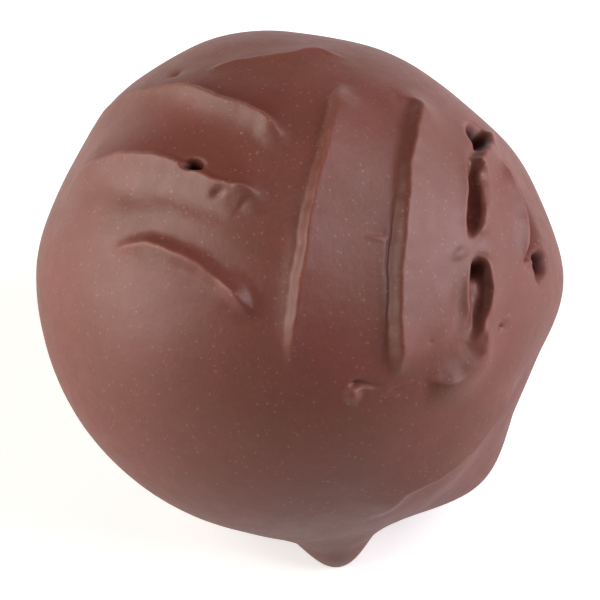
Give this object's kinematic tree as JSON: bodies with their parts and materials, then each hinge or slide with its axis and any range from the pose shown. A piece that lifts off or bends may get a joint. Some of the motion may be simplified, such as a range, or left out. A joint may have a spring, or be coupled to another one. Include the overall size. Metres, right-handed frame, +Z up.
{
  "type": "chocolate truffle",
  "caption": "Hand-dipped milk chocolate truffle: a round coated ball with fork ridges over its top, a pooled foot and a small pointed tail.",
  "frame": {"origin": "on the surface that the truffle stands on, under the middle of its ball", "axes": "+Z up, -Y towards the tail of run-out chocolate, +X to the right when the tail points at the viewer"},
  "size_m": [0.0322, 0.031, 0.0275],
  "materials": {
    "milk_chocolate": "satin milk chocolate"
  },
  "bodies": {
    "root": {"truffle": "milk_chocolate"}
  },
  "joints": []
}
